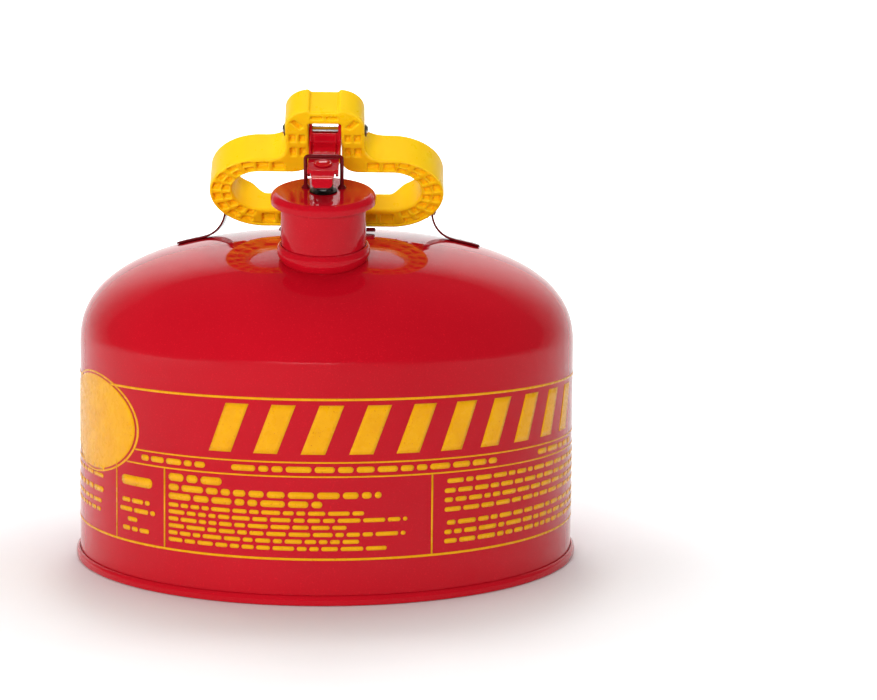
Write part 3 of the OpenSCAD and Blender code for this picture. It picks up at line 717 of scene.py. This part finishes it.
def handle_pockets():
    """Centre, turn, half sizes and depth of each moulded pocket (x > 0 side; both sides get one)."""
    cx = RING_W - RING_H / 2
    P = []
    for i in range(8):
        a = math.radians(-66 + 20 * i)
        r0 = hole_edge(a)
        t = RING_H / 2 - r0
        for k in (0.70, 0.27):
            r = r0 + k * t
            P.append((cx + r * math.cos(a), RING_H / 2 + r * math.sin(a), a, 0.165 * t, 0.115 * r, POCKET, 0.9))
    for i in range(2):
        P.append((cx - 1 - 8.6 * i, RING_H - TOP_BAR / 2, math.pi / 2, 3.0, 3.1, POCKET, 0.9))
    for i in range(4):
        P.append((4.7 + 9.4 * i, LOW_BAR / 2, math.pi / 2, 4.1, 3.6, POCKET, 1.2))
    # cheeks of the block: two columns, two rows
    for s, h in ((65.0, 3.4), (76.0, 2.9)):
        P.append((11.9, s, 0.0, 1.55, h, POCKET, 0.8))
        P.append((17.1, s, 0.0, 1.65, h, POCKET, 0.8))
    # shoulder pockets and the two under the notch
    P.append((14.4, 86.9, math.radians(-38), 1.6, 3.6, POCKET, 0.8))
    P.append((4.0, 92.2, math.pi / 2, 1.25, 3.1, POCKET, 0.7))
    return P


def handle_field(x, s, z):
    """z is 0 at the front face and negative towards the back."""
    n = -z
    d2, ring, hole, block = handle_outline(x, s)
    nm = handle_n(x, s)
    dz = np.maximum(-n, n - nm)
    d = extrude_round(d2, dz, 1.25)
    ax = np.abs(x)
    # the moulded pockets are cut into the face, their walls tapered
    for px, ps, a, w, h, dep, r in handle_pockets():
        m = (np.abs(ax - px) < 6.5) & (np.abs(s - ps) < 6.5) & (n < dep + 3)
        if not np.any(m):
            continue
        lx, ls = ax[m] - px, s[m] - ps
        c, q = math.cos(a), math.sin(a)
        u, v = lx * c + ls * q, -lx * q + ls * c
        taper = 0.05 * np.clip(n[m], 0, dep)
        p2 = sd_box2(u, v, 0, 0, w, h, r) + taper
        pk = extrude_round(p2, np.maximum(-n[m] - 3, n[m] - dep), 0.7)
        d[m] = smax(d[m], -pk, 0.9)
    return d


def handle_full(x, s, z):
    d = handle_field(x, s, z)
    n = -z
    ax = np.abs(x)
    # shallow groove inside the lower rim
    g2 = np.abs(sd_slug(x, s, RING_W - 2.6, RING_H / 2 - 2.6, RING_H / 2)) - 0.42
    g2 = np.maximum(g2, s - 9.0)
    gr = np.maximum(g2, np.maximum(-n - 2, n - 1.3))
    d = smax(d, -gr, 0.8)
    # lugs at the back of the lower corners, with their bores (world Y and Z of this point)
    c, q = math.cos(_ly), math.sin(_ly)
    Y = -H_Y - s * q + n * c
    Z = H_Z + s * c + n * q
    ry = np.hypot(Y - PIV_Y, Z - PIV_Z)
    arm = sd_path(Y, Z, [(PIV_Y, PIV_Z), (-19.5, 199.5)]) - 6.4
    arm = smin(ry - 7.0, arm, 2.0)
    lug = extrude_round(arm, np.abs(ax - 52.65) - 3.75, 0.7)
    d = smin(d, lug, 2.2)
    d = smax(d, -(np.maximum(ry - (PIV_R + 0.05), np.abs(ax - 50) - 8)), 0.3)
    d = np.maximum(d, -(np.maximum(ry - 6.3, np.abs(ax - 42.4) - 6.4)))
    rp = np.hypot(Y - PIN_Y, Z - PIN_Z)
    return smax(d, -(rp - (PIN_R + 0.02)), 0.3)


def make_handle():
    h = 0.52
    o = nets("grip_moulding", handle_full, (-65.2, -7.5, -29.5), (65.2, 99.6, 1.0), h, YELLOW, T_HAND)
    done(o, "handle", "yellow_plastic", "handle_grip")
    w = BLOCK_W + 1.9
    rot = Matrix.Translation((0, PIN_Y, PIN_Z)) @ Matrix.Rotation(math.pi / 2, 4, "Y")
    p = [(0, -w), (1.7, -w), (2.3, -w + 0.25), (PIN_R, -w + 0.8), (PIN_R, w - 0.8), (2.3, w - 0.25), (1.7, w), (0, w)]
    done(lathe("block_pin", p, BRIGHT, rot, seg=64, closed=False), "handle", "plated_steel", "arm_pin")
    both = []
    for k in (-1, 1):
        z = k * (BLOCK_W + 0.6)
        p = [(PIN_R + 0.02, z - 0.5), (3.1, z - 0.5), (3.35, z - 0.35), (3.35, z + 0.35), (3.1, z + 0.5), (PIN_R + 0.3, z + 0.5), (PIN_R + 0.02, z + 0.3)]
        both.append(lathe("pin_clip_" + ("right" if k > 0 else "left"), rounded(p, 0.15, 2), SPRING, rot, seg=64))
    for i, o in enumerate(both):
        done(o, "handle", "plated_steel", *(["arm_pin_clips"] if i == 0 else []))


ARM_PATH = [(NF_Y - 4.6, NF_Z - 1.4), (NF_Y - 4.6, NF_Z - 4.7), (NF_Y - 4.85, NF_Z - 5.75), (NF_Y - 5.45, NF_Z - 6.25), plate(22.7, 0.8), plate(-8.0, 0.8),
            (-12.5, 46.65), (-15.1, 46.02), (-15.9, 45.7), (-16.5, 45.0), (-17.55, 43.1)]


def arm_field(x, y, s):
    ax = np.abs(x)
    d2 = sd_path(y, s, ARM_PATH) - ARM_T / 2
    # seen from above the strip narrows to the front, and the tab has round corners
    t = np.clip((-y - 6.0) / 9.5, 0, 1)
    w = ARM_W / 2 - 2.4 * np.clip((-y - 6.0) / 3.0, 0, 1) ** 1.0 * 0.6 - 1.2 * t
    w = np.where(y < -6.0, w, ARM_W / 2)
    low = np.where(y < -14.0, np.hypot(np.maximum(ax - (w - 2.4), 0), np.maximum(45.0 - s, 0)) - 2.4, -9.0)
    dx = np.maximum(ax - w, np.where(s < 45.0, low, -9.0))
    strip = extrude_round(d2, dx, 0.4)
    c, q = math.cos(_pl), math.sin(_pl)
    u, v = y * c + (s - PL) * q, -y * q + (s - PL) * c
    up = sd_box2(y, s, NF_Y - 0.3, (NF_Z + PL) / 2 + 1.0, 4.6, (NF_Z - PL) / 2 - 1.0, 2.0)
    up = smin(up, np.hypot(y - NF_Y, s - NF_Z) - 4.65, 1.0)
    fl = sd_box2(u, v, 9.0, -1.3, 16.9, 2.9, 1.5)
    fl = np.maximum(fl, -(v + 4.15) - 0.0 + np.clip(-(u + 3.2), 0, 9) * 0.75)
    side = smin(up, fl, 3.0)
    side = smax(side, -(np.hypot(y - NF_Y, s - NF_Z) - (PIN_R + 0.05)), 0.3)
    # the cheeks stand a little wider towards the pin
    out = 0.45 * np.clip((y - 11.0) / 9.0, 0, 1)
    ch = extrude_round(side, np.abs(ax - (ARM_W / 2 - ARM_T / 2 + out)) - ARM_T / 2, 0.4)
    d = smin(strip, ch, 1.4)
    d = np.maximum(d, ax - ARM_W / 2 - out)
    # the blend with the cheeks stays level with the plate's top, where the bail crosses
    d = np.maximum(d, v - ARM_T - 1.5 * np.clip(u - 14.0, 0, 40))
    # a pressed groove beside each cheek, down the front and along the plate
    flat = np.maximum(np.maximum(0.9 - v, 9.0 - u), u - 25.9)
    cut = np.minimum(np.maximum(y - (NF_Y - 4.8), 53.6 - s), flat)
    d = smax(d, -np.maximum(np.abs(ax - 6.45) - 0.5, cut), 0.35)
    return smax(d, -np.maximum(np.hypot(x, y) - 2.62, np.abs(s - PL) - 5), 0.3)


def make_arm():
    o = nets("arm_pressing", arm_field, (-9.0, -20.0, 40.5), (9.0, NF_Y + 6.2, NF_Z + 6.2), 0.34, RED, T_NECK)
    done(o, "arm", "red_paint", "lid_arm")


def make_bail():
    bx, by, top, low = ARM_W / 2 + 0.35 + BAIL_R, BAIL_Y, BAIL_TOP, LID_TOP + 0.03
    arc = [(bx - 1.5 + 1.5 * math.cos(a), by, top - 1.5 + 1.5 * math.sin(a)) for a in np.linspace(0, math.pi / 2, 9)]
    right = [(bx, by, low), (bx, by, low + 1.5), (bx, by, (low + top) / 2), (bx, by, top - 3.0)] + arc
    pts = right + [(0, by, top)] + [(-x, y, z) for x, y, z in right[::-1]]
    # the bail is red enamel; it gets the dark red as painted shade, for the shade its legs sit in
    o = sweep("bail_loop", pts, BAIL_R - 0.02, RED_DARK, T_NECK, sides=16)
    done(o, "lid", "spring_steel", "bail_wire")
    # the weld beads at its feet, in the same dark red as painted shade
    for i, k in enumerate((-1, 1)):
        r = BAIL_R + 0.03
        p = [(r, 0.02), (r + 1.2, 0.02), (r + 1.15, 0.4), (r + 0.95, 0.85), (r + 0.6, 1.35), (r + 0.25, 1.75), (r, 1.9)]
        m = T_NECK @ Matrix.Translation((k * bx, by, LID_TOP))
        w = lathe("bail_weld_" + ("right" if k > 0 else "left"), rounded(p, 0.2, 2), RED_DARK, m, seg=48)
        done(w, "lid", "red_paint", *(["bail_sockets"] if i == 0 else []))


def make_legs():
    for k in (-1, 1):
        path = [(x, float(dome_z(x)) + 0.06 + LEG_T / 2) for x in np.linspace(85.4, 72.0, 9)]
        cx = LEG_X + LEG_T / 2 + LEG_BEND
        path += [(cx + LEG_BEND * math.cos(a), 193.98 + LEG_BEND * math.sin(a)) for a in np.radians(np.linspace(256, 180, 16))]
        path += [(LEG_X + LEG_T / 2, 206)]
        def leg(x, y, z, k=k, path=path):
            X = x * k
            d2 = sd_path(X, z, path) - LEG_T / 2
            yy = y - PIV_Y
            # width: round head at the pivot, straight shank, wider rounded foot
            hw = 8.0 + 2.0 * np.clip((192.5 - z) / 7.5, 0, 1)
            head = np.where(z > PIV_Z, np.hypot(yy, z - PIV_Z) - 8.0, np.abs(yy) - hw)
            foot = sd_box2(X, yy, 72, 0, 13.9, 10.0, 5.0)
            w = np.where(X > 66, foot, head)
            d = extrude_round(d2, w, 0.4)
            # two pressed weld dimples in the foot
            for wx in (75.5, 82.0):
                cz = float(dome_z(wx)) + LEG_T + 1.5
                d = smax(d, -(np.sqrt((X - wx) ** 2 + yy ** 2 + (z - cz) ** 2) - 2.1), 0.6)
            return smax(d, -np.maximum(np.hypot(yy, z - PIV_Z) - (PIV_R + 0.02), np.abs(X - LEG_X - 0.6) - 3), 0.25)
        side = "right" if k > 0 else "left"
        lo = (min(k * 56.4, k * 86.8), PIV_Y - 10.8, 172.5)
        hi = (max(k * 56.4, k * 86.8), PIV_Y + 10.8, 206.2)
        o = nets("strap_" + side, leg, lo, hi, 0.34, RED_DARK)
        done(o, "can", "dark_red_paint", "support_leg_" + side)
    # pins, washers, clips on the two pivots
    pins, wash, clips = [], [], []
    for k in (-1, 1):
        side = "right" if k > 0 else "left"
        rot = Matrix.Translation((0, PIV_Y, PIV_Z)) @ Matrix.Rotation(k * math.pi / 2, 4, "Y")
        x0, x1 = 37.0, LEG_X + LEG_T + 0.12
        p = [(0, x0), (1.9, x0), (PIV_R, x0 + 0.7), (PIV_R, x1), (4.3, x1), (4.6, x1 + 0.35), (4.2, x1 + 1.1), (3.2, x1 + 1.7), (1.6, x1 + 2.0), (0, x1 + 2.0)]
        pins.append(lathe("hinge_pin_" + side, p, PLATED, rot, seg=64, closed=False))
        w0 = LEG_X - 0.65
        p = [(PIV_R + 0.02, w0), (5.0, w0), (5.2, w0 + 0.15), (5.2, w0 + 0.45), (5.0, w0 + 0.6), (PIV_R + 0.02, w0 + 0.6)]
        wash.append(lathe("hinge_washer_" + side, p, PLATED, rot, seg=64))
        p = [(PIV_R + 0.02, 37.4), (4.0, 37.4), (4.2, 37.55), (4.2, 38.05), (4.0, 38.2), (PIV_R + 0.02, 38.2)]
        clips.append(lathe("hinge_clip_" + side, p, SPRING, rot, seg=64))
    for group, node in ((pins, "pivot_pins"), (wash, "pivot_washers"), (clips, "pivot_clips")):
        for i, o in enumerate(group):
            done(o, "can", "plated_steel", *([node] if i == 0 else []))


def make_stop():
    w, y0, zt = 26.5, -29.25, H_Z - STOP_GAP
    def stop(x, y, z):
        top = sd_box3(x, y, z, (0, y0, zt - 0.6), (w, 6.75, 0.6), 0.4)
        lip = sd_box3(x, y, z, (0, -35.4, zt - 0.15), (w, 0.6, 1.05), 0.4)
        wall = sd_box3(np.abs(x), y, z, (16.3, y0, zt - 5.6), (1.3, 6.75, 5.5), 0.5)
        d = smin(smin(top, lip, 0.6), wall, 0.8)
        return np.maximum(d, dome_z(np.hypot(x, y)) - 0.02 - z)
    o = nets("rest_bracket", stop, (-w - 1, y0 - 7.6, 176), (w + 1, y0 + 7.6, zt + 1.7), 0.3, RED_DARK)
    done(o, "can", "dark_red_paint", "handle_stop")


# ------------------------------------------------------------------ printed panel: plain bars and lines, no lettering
PRINT_V, PRINT_F = [], []
PRINT_R = BODY_R + 0.08


def on_wall(a, z):
    a = math.radians(a)
    return (PRINT_R * math.sin(a), -PRINT_R * math.cos(a), z)


def bar(a0, a1, z0, z1, lean=0.0):
    """A printed bar between two angles (degrees, 0 at the neck side, + to the right) and two heights; lean slants it."""
    n = max(2, int(abs(a1 - a0) / 0.8))
    m = max(1, int(abs(z1 - z0) / 3)) if lean else 1
    base = len(PRINT_V)
    for j in range(m + 1):
        z = z0 + (z1 - z0) * j / m
        for i in range(n + 1):
            PRINT_V.append(on_wall(a0 + (a1 - a0) * i / n + lean * (z - z0), z))
    for j in range(m):
        for i in range(n):
            p = base + j * (n + 1) + i
            PRINT_F.append([p, p + 1, p + n + 2, p + n + 1])


def dash(a0, a1, zc, h):
    """A printed dash with round ends."""
    k = h / 2 / PRINT_R * 57.2958
    k = min(k, (a1 - a0) / 2)
    cols = [(a0 + k * (1 - math.cos(t)), math.sin(t)) for t in np.linspace(0.25, math.pi / 2, 4)]
    mid = max(1, int((a1 - a0 - 2 * k) / 0.9))
    cols += [(a0 + k + (a1 - a0 - 2 * k) * i / mid, 1.0) for i in range(1, mid)]
    cols += [(a1 - k * (1 - math.cos(t)), math.sin(t)) for t in np.linspace(math.pi / 2, 0.25, 4)]
    base = len(PRINT_V)
    for a, f in cols:
        PRINT_V.append(on_wall(a, zc - h / 2 * f))
        PRINT_V.append(on_wall(a, zc + h / 2 * f))
    for i in range(len(cols) - 1):
        p = base + 2 * i
        PRINT_F.append([p, p + 2, p + 3, p + 1])


def dashes(a0, a1, zc, h, rng):
    """A row of dashes of uneven length, as a stand-in for a line of small print."""
    a = a0
    while a < a1 - 0.8:
        b = min(a1, a + float(rng.uniform(1.6, 4.6)) * (0.7 + h / 6))
        if a1 - b < 0.9:
            b = a1
        dash(a, b, zc, h)
        a = b + 0.30 + h * 0.10


def oval(ac, zc, ra, rz, hole=0.0):
    """A printed oval, or its rim; a grid of rows keeps it clear of a pinched centre."""
    if hole:
        base, n = len(PRINT_V), 120
        for f in (1.0, hole):
            for i in range(n):
                t = 2 * math.pi * i / n
                PRINT_V.append(on_wall(ac + ra * f * math.cos(t), zc + rz * f * math.sin(t)))
        for i in range(n):
            i2 = (i + 1) % n
            PRINT_F.append([base + i, base + n + i, base + n + i2, base + i2])
        return
    rows, cols, base = 44, 24, len(PRINT_V)
    for j in range(rows + 1):
        q = math.sin(math.pi * (j / rows - 0.5)) * 0.9995
        w = ra * math.sqrt(1 - q * q)
        for i in range(cols + 1):
            PRINT_V.append(on_wall(ac + w * (2 * i / cols - 1), zc + rz * q))
    for j in range(rows):
        for i in range(cols):
            p = base + j * (cols + 1) + i
            PRINT_F.append([p, p + 1, p + cols + 2, p + cols + 1])


def make_print():
    rng = np.random.default_rng(11)
    # rules; those that meet the oval stop at its rim
    bar(-53.2, 104, 103.9, 105.1)
    bar(-104, -71.5, 103.9, 105.1)
    bar(-43.6, 104, 72.3, 73.1)
    bar(-46.6, 104, 65.1, 65.9)
    bar(-104, -78.5, 65.1, 65.9)
    bar(-104, 104, 22.9, 24.1)
    bar(-104, -103.5, 24.1, 103.9)
    bar(103.5, 104, 24.1, 103.9)
    for a in (-50.4, -34.7, 24.1):
        bar(a - 0.2, a + 0.2, 24.1, 65.1)
    # blank oval with a rim
    oval(-62.3, 82.4, 18.6, 25.2)
    oval(-62.3, 82.4, 19.9, 27.0, 0.965)
    # slanted stripes in the tall band
    for i in range(10):
        a = -23.5 + 9.9 * i
        bar(a, a + 5.0, 76.8, 101.6, 0.155)
    # one line of larger dashes under the band
    dashes(-41.6, -24.4, 69.1, 3.0, rng)
    dashes(-18.4, 40.6, 69.1, 3.0, rng)
    dashes(54.8, 76.0, 69.1, 3.0, rng)
    # columns
    dash(-48.4, -38.2, 55.8, 5.2)
    for z, a, b in ((45.3, -48.2, -39.0), (40.4, -49.0, -37.4), (35.4, -46.2, -41.6), (30.4, -48.0, -39.2)):
        dashes(a, b, z, 2.4, rng)
    dashes(-33.6, -19.6, 61.2, 4.0, rng)
    dashes(-33.6, 13.0, 56.0, 3.3, rng)
    dashes(-33.6, 0.8, 51.4, 3.3, rng)
    for z, b in ((46.9, 9.4), (43.3, 18.6), (39.7, 5.8), (36.1, 18.2), (32.5, 9.6), (28.9, 14.2)):
        dashes(-33.6, b, z, 2.1, rng)
    for z, b in ((61.0, 92.0), (56.0, 88.0), (51.2, 90.0), (46.3, 84.0), (39.4, 92.0), (34.6, 90.0), (29.9, 86.0)):
        dashes(27.6 if z > 60 or 38 < z < 40 else 27.0, b, z, 2.4, rng)
    for z, a, b, h in ((58.5, -92.0, -56.0, 2.2), (54.0, -90.0, -56.5, 2.2), (46.5, -88.0, -56.5, 3.0), (40.2, -92.0, -57.5, 2.2), (35.5, -86.0, -58.0, 2.2)):
        dashes(a, b, z, h, rng)
    o = mesh_obj("printed_panel", PRINT_V, PRINT_F, INK, None, True)
    # the film has a real thickness
    m = o.modifiers.new("film", "SOLIDIFY")
    m.thickness, m.offset = 0.00006, 1.0
    bpy.context.view_layer.update()
    me = bpy.data.meshes.new_from_object(o.evaluated_get(bpy.context.evaluated_depsgraph_get()))
    o.modifiers.clear()
    o.data = me
    done(o, "can", "yellow_ink")


make_body()
make_base()
make_neck()
make_lid()
make_springs()
make_handle()
make_arm()
make_bail()
make_legs()
make_stop()
make_print()

# CAD nodes that stay as they are get a finish too
for node, mat in (("arrester_tube", PLATED), ("arrester_ring", PLATED), ("arrester_cap", PLATED), ("arrester_screen", GAUZE)):
    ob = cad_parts[node]
    if not ob.data.materials:
        ob.data.materials.append(mat)
    for slot in ob.material_slots:
        slot.material = mat


# ------------------------------------------------------------------ floor, light, camera
def stage_material(name, base, rough):
    n = Nodes(name)
    col = n.mix(n.ramp(n.noise(1.3, 3), [(0.3, 0.0), (0.7, 1.0)]), base, tuple(c * 0.985 for c in base))
    n.link(col, n.b.inputs["Base Color"])
    n.link(n.ramp(n.noise(7.0, 4), [(0.3, rough), (0.8, rough + 0.08)]), n.b.inputs["Roughness"])
    # far from the can the sweep is lit evenly, so that it stays pale from every side
    far = n.t.nodes.new("ShaderNodeVectorMath")
    far.operation = "LENGTH"
    n.link(n.co, far.inputs[0])
    away = n.t.nodes.new("ShaderNodeMapRange")
    away.interpolation_type = "SMOOTHSTEP"
    n.link(far.outputs["Value"], away.inputs["Value"])
    away.inputs["From Min"].default_value, away.inputs["From Max"].default_value = 0.13, 0.62
    away.inputs["To Max"].default_value = 0.85
    ray = n.t.nodes.new("ShaderNodeLightPath")
    n.b.inputs["Emission Color"].default_value = (1.0, 1.0, 1.0, 1.0)
    n.link(n.math("MULTIPLY", away.outputs["Result"], ray.outputs["Is Camera Ray"]), n.b.inputs["Emission Strength"])
    return n.m


def make_stage():
    """A pale floor that curves up far behind."""
    prof = [(-4.0, 0.0), (1.6, 0.0)]
    for a in np.linspace(0, math.pi / 2, 14)[1:]:
        prof.append((1.6 + 1.2 * math.sin(a), 1.2 - 1.2 * math.cos(a)))
    prof.append((2.8, 3.7))
    verts, faces = [], []
    for y, z in prof:
        verts += [(-5000, y * 1000, z * 1000), (5000, y * 1000, z * 1000)]
    for i in range(len(prof) - 1):
        faces.append([2 * i, 2 * i + 1, 2 * i + 3, 2 * i + 2])
    o = mesh_obj("floor", verts, faces, stage_material("pale_floor", (0.86, 0.86, 0.86), 0.55), None, True)


def area(name, loc, target, sx, sy, power, mirrored=False):
    """A soft box. Most of them light the can without showing in its gloss."""
    li = bpy.data.lights.new(name, "AREA")
    li.shape, li.size, li.size_y, li.energy = "RECTANGLE", sx, sy, power
    o = bpy.data.objects.new(name, li)
    bpy.context.collection.objects.link(o)
    o.location = loc
    o.rotation_euler = (Vector(target) - Vector(loc)).to_track_quat("-Z", "Y").to_euler()
    o.visible_glossy = mirrored
    return o


make_stage()
world = bpy.data.worlds.new("studio")
bpy.context.scene.world = world
world.use_nodes = True
wt = world.node_tree
backs = wt.nodes["Background"]
backs.inputs[0].default_value, backs.inputs[1].default_value = (1.0, 1.0, 1.0, 1), 0.14
# the open studio looks white, but lights the can only dimly
seen = wt.nodes.new("ShaderNodeBackground")
seen.inputs[0].default_value, seen.inputs[1].default_value = (1.0, 1.0, 1.0, 1), 1.0
path = wt.nodes.new("ShaderNodeLightPath")
pick = wt.nodes.new("ShaderNodeMixShader")
wt.links.new(path.outputs["Is Camera Ray"], pick.inputs[0])
wt.links.new(backs.outputs[0], pick.inputs[1])
wt.links.new(seen.outputs[0], pick.inputs[2])
wt.links.new(pick.outputs[0], wt.nodes["World Output"].inputs[0])
bpy.context.scene.view_settings.view_transform = "Standard"
area("top", (0.0, 0.0, 2.0), (0, 0.0, 0.1), 2.2, 1.6, 16)
area("left", (-1.7, -0.7, 0.5), (0, 0, 0.14), 1.2, 0.8, 10)
area("right", (1.8, -0.5, 0.5), (0, 0, 0.14), 1.2, 0.8, 5)
area("front", (-0.6, -3.6, 0.5), (0, 0, 0.14), 1.6, 0.6, 82)
area("backdrop", (0.0, 1.2, 2.6), (0, 2.4, 0.9), 4.0, 1.0, 62)
area("high_back", (-0.05, 1.15, 2.28), (0, -0.09, 0.22), 0.42, 0.75, 11.0, True)

cam = bpy.data.cameras.new("view")
cam_o = bpy.data.objects.new("view", cam)
bpy.context.collection.objects.link(cam_o)
cam.lens, cam.sensor_width = 75.28, 36.0
cam.clip_start, cam.clip_end = 0.05, 50
cam_o.location = (0.0345, -1.0514, 0.2305)
AIM_YAW, AIM_PITCH, AIM_ROLL, SHIFT_Y = -1.546, -4.372, 0.63, -0.07
d = Vector((0, 1, 0))
rot = Matrix.Rotation(math.radians(AIM_YAW), 4, "Z") @ Matrix.Rotation(math.radians(90 + AIM_PITCH), 4, "X") @ Matrix.Rotation(math.radians(AIM_ROLL), 4, "Z")
cam_o.rotation_euler = rot.to_euler()
cam.shift_x, cam.shift_y = 0.0, SHIFT_Y
bpy.context.scene.camera = cam_o
